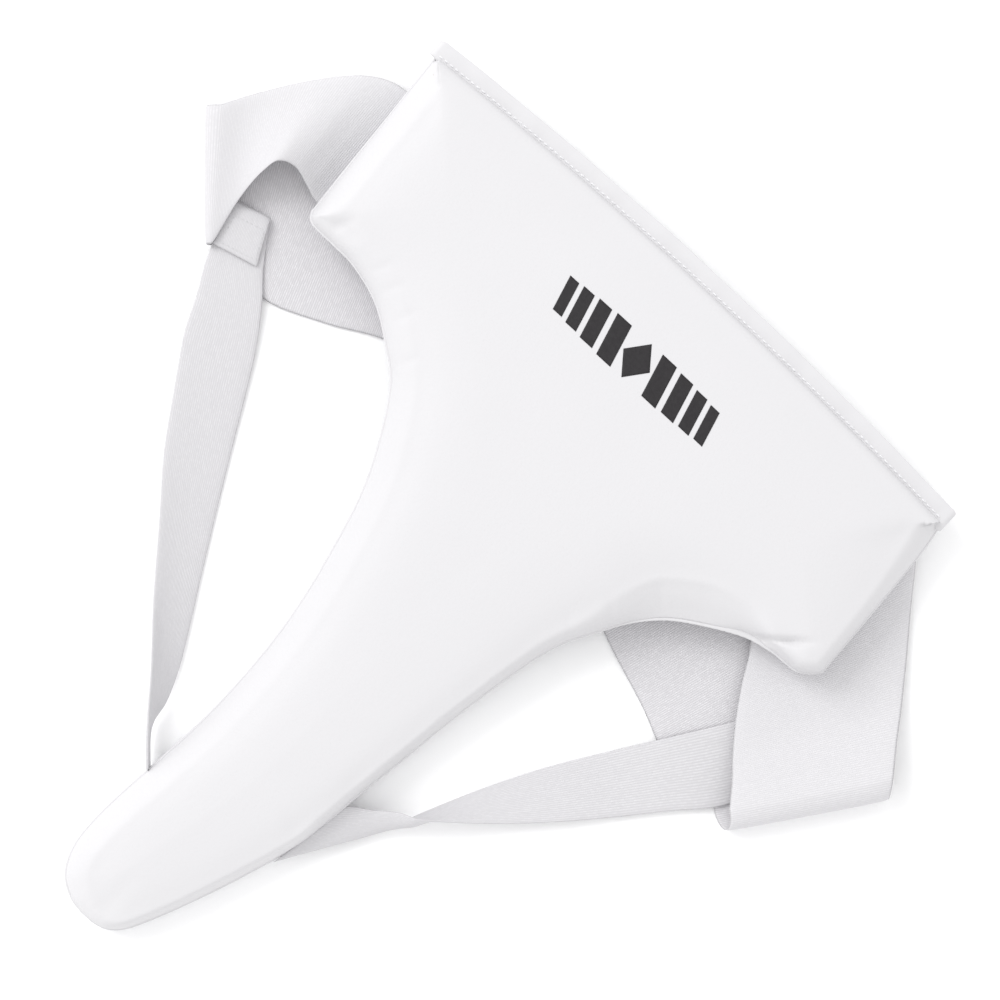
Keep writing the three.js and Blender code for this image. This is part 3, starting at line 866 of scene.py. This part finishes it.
left_fold = fold(((-203.6, 88.2), (-163.4, 132.2)), (6.5, 2.2), (10.4, 7.4), ((-0.745, 0.667),) * 2)
right_ways = ((0.569, 0.822), (0.802, 0.598))
right_fold = fold(((212.4, 108.9), (172.2, 164.0)), (9.5, 9.0), (14.8, 13.8), right_ways, (-4.4, 4.1))
on_table = [
    ((-178, 76), (-146, 131)), ((-152, 70), (-128.6, 132.6)), ((-127, 59), (-103, 122.5)),
    ((-99, 47), (-78.8, 110)), ((-52, 34), (-40, 100)), ((0, 36), (0, 103)), ((48, 56), (38, 121)),
    ((91, 76), (74.3, 138.8)), ((130, 86), (110, 152)), ((165, 93), (137, 163)),
]
waistband_route = [
    ((-118, 20, 8.4), (-118, 85, 8.4)),
    ((-143.8, 25.6, 7.2), (-140.3, 87, 7.4)),
    ((-152, 27.2, 7), (-148.5, 84.5, 12)),
    ((-161.5, 32.5, 7), (-156.8, 82.4, 19)),
    ((-172.5, 44, 7.2), (-163, 85.3, 22.5)),
    ((-183.5, 58.5, 7.8), (-165.2, 93, 19)),
    ((-193, 73.6, 9), (-165.7, 108, 9.6)),
    *left_fold,
    *(((*a, BAND_LOW), (*b, BAND_LOW)) for a, b in on_table),
    *right_fold[::-1],
    ((198.2, 88.6, 10.2), (157.4, 148.4, 10.8)),
    ((190.4, 76.4, 5.8), (151.0, 141.1, 8.2)),
    ((177.0, 57.9, 3.3), (141, 128, 7.3)),
    ((164.9, 42.3, 3.5), (132.6, 115, 6.3)),
    ((154.2, 28.4, 5.2), (126.3, 103.4, 6.4)),
    ((143, 14, 7.2), (110, 83, 8.4)),
]

TAB_HIGH = 4.9
TAB_LOW = 3.0
TAB_MIDDLE = (TAB_HIGH + TAB_LOW) / 2
left_strap_route = [
    ((-161.8, 130.0, TAB_HIGH), (-141.0, 124.6, TAB_HIGH)),
    ((-170.0, 113.6, TAB_HIGH), (-149.6, 107.5, TAB_HIGH)),
    ((-170.8, 111.6, TAB_MIDDLE), (-150.6, 105.5, TAB_MIDDLE)),
    ((-170.0, 113.6, TAB_LOW), (-149.6, 107.5, TAB_LOW)),
    ((-161.5, 131.5, TAB_LOW), (-138, 124, TAB_LOW)),
    ((-158.2, 139, TAB_LOW), (-129.4, 134, TAB_LOW)),
    ((-152, 151, 3.2), (-117.4, 151, 2)),
    ((-144.9, 166.4, 3.4), (-106.2, 170.9, 1.4)),
    ((-131, 188, 4.2), (-91, 199, 1)),
    ((-116.8, 209.4, 5.2), (-76, 226, 1)),
    ((-97, 234, 6.6), (-60, 254, 1.2)),
    ((-76.9, 259, 9), (-49, 274, 1.4)),
    ((-58, 280.5, 12.5), (-43, 289, 2)),
    ((-43.6, 298, 13), (-40.8, 300.4, 2.6)),
    ((-29.2, 314.7, 9.4), (-28.6, 315.2, 3.2)),
]
right_strap_route = [
    ((142, 128, TAB_HIGH), (162.5, 151, TAB_HIGH)),
    ((149.5, 115.5, TAB_HIGH), (172, 137, TAB_HIGH)),
    ((150.6, 113.7, TAB_MIDDLE), (173.4, 135, TAB_MIDDLE)),
    ((149.5, 115.5, TAB_LOW), (172, 137, TAB_LOW)),
    ((141.2, 130.2, TAB_LOW), (164.2, 157, TAB_LOW)),
    ((124, 156, TAB_LOW), (147, 177, TAB_LOW)),
    ((112, 174, 1.2), (134, 192, 3.2)),
    ((99, 193.8, 1), (118.7, 208.6, 5)),
    ((84, 220, 1), (94.5, 232, 8)),
    ((71.6, 245.6, 1.2), (70.6, 250.8, 14)),
    ((60.6, 270.0, 3.4), (62.5, 254.8, 10)),
    ((50.6, 286.0, 5.8), (52.4, 262.6, 8)),
    ((43.6, 297.0, 6.8), (47.6, 265.6, 7.6)),
    ((36.9, 307.8, 7.2), (43.8, 268.4, 7.4)),
]
RIGHT_CURL = ((68.5, 252.0), 11.0, (2.4, 2.6))
both_sides = [elastic, elastic_inside_painted_shade]
band("waistband_elastic", waistband_route, 1.6, both_sides, "waistband", columns=13)
for side_name, route, curl in (
    ("left", left_strap_route, None),
    ("right", right_strap_route, RIGHT_CURL),
):
    band(
        f"{side_name}_leg_elastic", route, 1.5, [leg_elastic],
        f"{side_name}_leg_strap", 15, ribs_across=False, curl=curl,
    )

# ---------------- the folded hem

STITCH_DOWN = 6.5                 # from the hem's outer edge to its row of stitches
HEM_STOP = 150.1                  # where the fold ends on the right


def hem():
    """The folded strip along the top edge, slightly gathered, its right end past the pad."""
    start, stop = HEM_ENDS[0], HEM_STOP
    across = np.arange(start, stop + 0.01, 0.9)
    count = 26
    around = np.linspace(0, math.tau, count, endpoint=False)
    rings = []
    for x in across:
        from_left, from_right = x - start, stop - x
        outer = 1.0 * (1 - min(1, from_right / 1.6)) ** 1.6 + 0.8 * (1 - min(1, from_left / 2.5)) ** 2
        inner = HEM_WIDTH + 1.4 + 2.6 * (1 - smoothstep(3, 9, from_right))
        inner -= 0.8 * (1 - min(1, from_right / 1.4)) ** 2
        inner += 0.16 * math.sin(x / 3.3) + 0.12 * math.sin(x / 7.7)
        outer += 0.1 * math.sin(x / 9.1)
        middle, half = (outer + inner) / 2, (inner - outer) / 2
        c, s = np.cos(around), np.sin(around)
        down = middle + half * np.sign(c) * np.abs(c) ** 0.45
        full = 1.55 * min(1, 0.3 + min(from_left, from_right) / 2.2)
        crumple = 0.12 * math.sin(x / 2.9) * math.sin(x / 12.0) + 0.1 * math.sin(x / 5.3)
        groove = 0.45 * np.exp(-(((down - STITCH_DOWN) / 0.6) ** 2)) * (s > 0)
        z = full * np.sign(s) * np.abs(s) ** 0.55 + (crumple * (s > 0)) - groove
        rings.append(np.column_stack([
            np.full(count, x), bowed(x, down), back_base(x, 0.0) + HEM_HEIGHT + z,
        ]))
    points = np.concatenate(rings)
    piece = add_object("top_hem_fold", place(*points.T), ring_faces(len(rings), count), vinyl)
    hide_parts("top_hem")
    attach(piece, "root")
    return piece


hem_piece = hem()

# ---------------- stitches


def stitch_mesh(line, up, pitch, length, radius):
    """One short bowed capsule of thread for each stitch along a line, all in metres."""
    along = lengths_along(line)
    middles = np.arange(pitch / 2, along[-1], pitch)
    stations = np.linspace(-1, 1, 9)
    around = np.linspace(0, math.tau, 8, endpoint=False)
    points, faces = [], []
    for middle in middles:
        here = at_lengths(line, along, middle + stations * length / 2)
        ahead = here[-1] - here[0]
        ahead /= np.linalg.norm(ahead)
        rise = at_lengths(up, along, [middle])[0]
        side = np.cross(rise, ahead)
        side /= np.linalg.norm(side)
        for spot, t in zip(here, stations):
            size = radius * math.sqrt(max(1 - t**4, 0.02))
            centre = spot + rise * (radius * 0.55 - radius * 1.5 * t * t)
            for angle in around:
                points.append(centre + size * (math.cos(angle) * side + math.sin(angle) * rise))
        first = len(points) - len(stations) * len(around)
        for face in ring_faces(len(stations), len(around)):
            faces.append(tuple(first + i for i in face))
    return points, faces


def stitches(name, runs, nodes, pitch, length, radius, material=thread):
    """Rows of stitches as one piece; each run is (line, the way up at each point of it)."""
    points, faces = [], []
    for line, up in runs:
        more, more_faces = stitch_mesh(line, up, pitch * MM, length * MM, radius * MM)
        faces.extend(tuple(i + len(points) for i in face) for face in more_faces)
        points.extend(more)
    piece = add_object(name, points, faces, material)
    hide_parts(*nodes)
    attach(piece, "root")


RAY_START = 0.1                   # metres above the table


def surface_under(piece):
    graph = bpy.context.evaluated_depsgraph_get()
    return BVHTree.FromObject(piece, graph)


def laid_on(tree, spots):
    """Where a ray from above meets the surface at each (across, down), and the surface's normal."""
    way = Vector((0, 0, -1))
    line, normals = [], []
    for x, y, _ in place(spots[:, 0], spots[:, 1], np.zeros(len(spots))):
        hit, normal, _, _ = tree.ray_cast(Vector((x, y, RAY_START)), way)
        if hit is None:
            continue
        line.append(hit)
        normals.append(normal if normal.dot(way) < 0 else -normal)
    return np.array(line), np.array(normals)


def run_on(tree, corners):
    """A stitch line on a surface through corner points, each (across, down)."""
    corners = np.array(corners, float)
    along = lengths_along(corners)
    spots = at_lengths(corners, along, np.linspace(0, along[-1], max(8, int(along[-1] / 1.5))))
    return laid_on(tree, spots)


hem_tree = surface_under(hem_piece)
hem_across = np.linspace(-143.5, 145.5, 200)
hem_line = np.stack([hem_across, bowed(hem_across, np.full(200, STITCH_DOWN))], axis=1)
stitches("hem_stitches", [laid_on(hem_tree, hem_line)], ["hem_thread"], 2.9, 2.5, 0.36)

TAB_STITCH = (2.3, 1.7, 0.13, tab_thread)    # pitch, length, radius and material
left_tree = surface_under(bpy.data.objects["left_leg_elastic"])
left_tab = [
    run_on(left_tree, [(-162.6, 115.0), (-149.2, 111.0)]),
    run_on(left_tree, [(-159.6, 127.4), (-143.2, 123.0)]),
    run_on(left_tree, [(-162.6, 115.0), (-159.6, 127.4)]),
    run_on(left_tree, [(-149.2, 111.0), (-143.2, 123.0)]),
]
left_nodes = ["left_strap_thread", "left_strap_end_thread"]
stitches("left_tab_stitches", left_tab, left_nodes, *TAB_STITCH)
right_tree = surface_under(bpy.data.objects["right_leg_elastic"])
right_tab = [
    run_on(right_tree, [(151.2, 118.6), (169.8, 136.6)]),
    run_on(right_tree, [(145.0, 127.6), (162.6, 146.8)]),
    run_on(right_tree, [(151.2, 118.6), (145.0, 127.6)]),
    run_on(right_tree, [(169.8, 136.6), (162.6, 146.8)]),
]
right_nodes = ["right_strap_thread", "right_strap_end_thread"]
stitches("right_tab_stitches", right_tab, right_nodes, *TAB_STITCH)


def lifted_run(start, end, z):
    """A stitch line on the underside of the waistband's sewn end."""
    t = np.linspace(0, 1, 40)[:, None]
    spots = np.array(start) * (1 - t) + np.array(end) * t
    line = place(spots[:, 0], spots[:, 1], z[0] * (1 - t[:, 0]) + z[1] * t[:, 0])
    return line, np.tile([0.0, 0.0, -1.0], (len(line), 1))


SEWN_BELOW = 0.85
for side_name, rows in (
    ("left", [((-123, 22), (-123, 84), (8.1, 8.1)), ((-127.5, 22.5), (-127.5, 84.5), (7.9, 7.9))]),
    ("right", [((144, 20), (114.5, 82), (6.95, 8.0)), ((140, 16.5), (110.8, 80), (7.2, 8.2))]),
):
    runs = [lifted_run(a, b, (z[0] - SEWN_BELOW, z[1] - SEWN_BELOW)) for a, b, z in rows]
    nodes = [f"{side_name}_waistband_thread"]
    stitches(f"{side_name}_waistband_stitches", runs, nodes, 2.6, 2.0, 0.3)

# ---------------- the printed mark

MARK_MIDDLE = (6.0, 48.0)
MARK_LENGTH = 86.0
MARK_HEIGHT = 18.0
MARK_SLANT = 5.0
PRINT_THICKNESS = 0.12
PRINT_GAP = 0.03
# Each bar's place between the middle and the end, its width, and its share of the height.
MARK_BARS = ((0.30, 8.0, 1.0), (0.54, 7.0, 0.94), (0.75, 6.0, 0.88), (0.935, 5.0, 0.82))


def mark_shapes():
    """Slanted bars that grow towards a lozenge in the middle, each four corners in plan."""
    shapes = []
    half = MARK_HEIGHT / 2
    for sign in (-1, 1):
        for place_in_row, width, tall in MARK_BARS:
            x = sign * place_in_row * MARK_LENGTH / 2
            h = half * tall
            lean = MARK_SLANT * tall
            shapes.append([
                (x - width / 2 - lean * 0.5, h), (x + width / 2 - lean * 0.5, h),
                (x + width / 2 + lean * 0.5, -h), (x - width / 2 + lean * 0.5, -h),
            ])
    shapes.append([(-7.5, 0), (0, half), (7.5, 0), (0, -half)])
    return shapes


def printed_mark():
    tree = surface_under(cover)
    points, faces = [], []
    cells = 12
    for shape in mark_shapes():
        corners = np.array(shape, float)
        s = np.linspace(0, 1, cells + 1)
        grid_s, grid_t = np.meshgrid(s, s, indexing="ij")
        a = corners[0] + grid_s[..., None] * (corners[1] - corners[0])
        b = corners[3] + grid_s[..., None] * (corners[2] - corners[3])
        spots = (a + grid_t[..., None] * (b - a)).reshape(-1, 2)
        spots = np.stack([MARK_MIDDLE[0] + spots[:, 0], MARK_MIDDLE[1] - spots[:, 1]], axis=1)
        spots[:, 1] = bowed(spots[:, 0], spots[:, 1])
        line, normals = laid_on(tree, spots)
        first = len(points)
        points.extend(line + normals * PRINT_GAP * MM)
        points.extend(line + normals * PRINT_THICKNESS * MM)
        size = (cells + 1) ** 2

        def index(i, j, top):
            return first + top * size + i * (cells + 1) + j

        for i in range(cells):
            for j in range(cells):
                cell = [(i, j), (i + 1, j), (i + 1, j + 1), (i, j + 1)]
                faces.append(tuple(index(a, b, 1) for a, b in cell))
                faces.append(tuple(index(a, b, 0) for a, b in (cell[0], *cell[:0:-1])))
        rim = [(i, 0) for i in range(cells)] + [(cells, j) for j in range(cells)]
        rim += [(i, cells) for i in range(cells, 0, -1)] + [(0, j) for j in range(cells, 0, -1)]
        for (i, j), (k, m) in zip(rim, rim[1:] + rim[:1]):
            faces.append((index(i, j, 0), index(k, m, 0), index(k, m, 1), index(i, j, 1)))
    piece = add_object("printed_mark", points, faces, black_print)
    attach(piece, "root")


printed_mark()

# ---------------- floor, light and camera

VIEW_TURN = math.radians(42.65)   # the picture's right-hand direction, turned from +X
VIEW_MIDDLE = (3.45, 127.5, 22.0)
VIEW_WIDTH = 423.7
LENS = 120.0
SENSOR = 36.0
KEY_AZIMUTH = 138                 # degrees
KEY_ELEVATION = 40
KEY_POWER = 268.0                 # watts
KEY_SIZE = 4.0                    # metres
KEY_DISTANCE = 8.0
SKY_STRENGTH = 1.09


def table_top():
    size = 2.2
    under = -0.0002
    ways = ((-1, -1), (1, -1), (1, 1), (-1, 1))
    corners = [(x * size, y * size, under) for x, y in ways]
    floor = add_object("table", corners, [(0, 1, 2, 3)], floor_look())


def soft_box(name, azimuth, elevation, power, size, distance):
    """A square light that points at the object; azimuth is the way to it from the camera's view:
    0 is the picture's right-hand side and 90 its top."""
    angle = math.radians(azimuth) + VIEW_TURN
    tilt = math.radians(elevation)
    aim = Vector(place(*(np.float64(v) for v in VIEW_MIDDLE)))
    way = Vector((math.cos(angle) * math.cos(tilt), math.sin(angle) * math.cos(tilt), math.sin(tilt)))
    lamp = bpy.data.lights.new(name, "AREA")
    lamp.energy = power
    lamp.size = size
    holder = bpy.data.objects.new(name, lamp)
    holder.location = aim + way * distance
    holder.rotation_euler = way.to_track_quat("Z", "Y").to_euler()
    bpy.context.scene.collection.objects.link(holder)


def camera():
    eye = bpy.data.cameras.new("camera")
    eye.lens = LENS
    eye.sensor_width = SENSOR
    holder = bpy.data.objects.new("camera", eye)
    middle = place(*(np.float64(v) for v in VIEW_MIDDLE))
    distance = VIEW_WIDTH * MM * LENS / SENSOR
    holder.location = (middle[0], middle[1], middle[2] + distance)
    holder.rotation_euler = (0, 0, VIEW_TURN)
    bpy.context.scene.collection.objects.link(holder)
    bpy.context.scene.camera = holder


table_top()
soft_box("key", KEY_AZIMUTH, KEY_ELEVATION, KEY_POWER, KEY_SIZE, KEY_DISTANCE)
camera()
world = bpy.data.worlds.new("studio")
world.use_nodes = True
world.node_tree.nodes["Background"].inputs["Color"].default_value = (1, 1, 1, 1)
world.node_tree.nodes["Background"].inputs["Strength"].default_value = SKY_STRENGTH
bpy.context.scene.world = world
bpy.context.scene.view_settings.view_transform = "Standard"
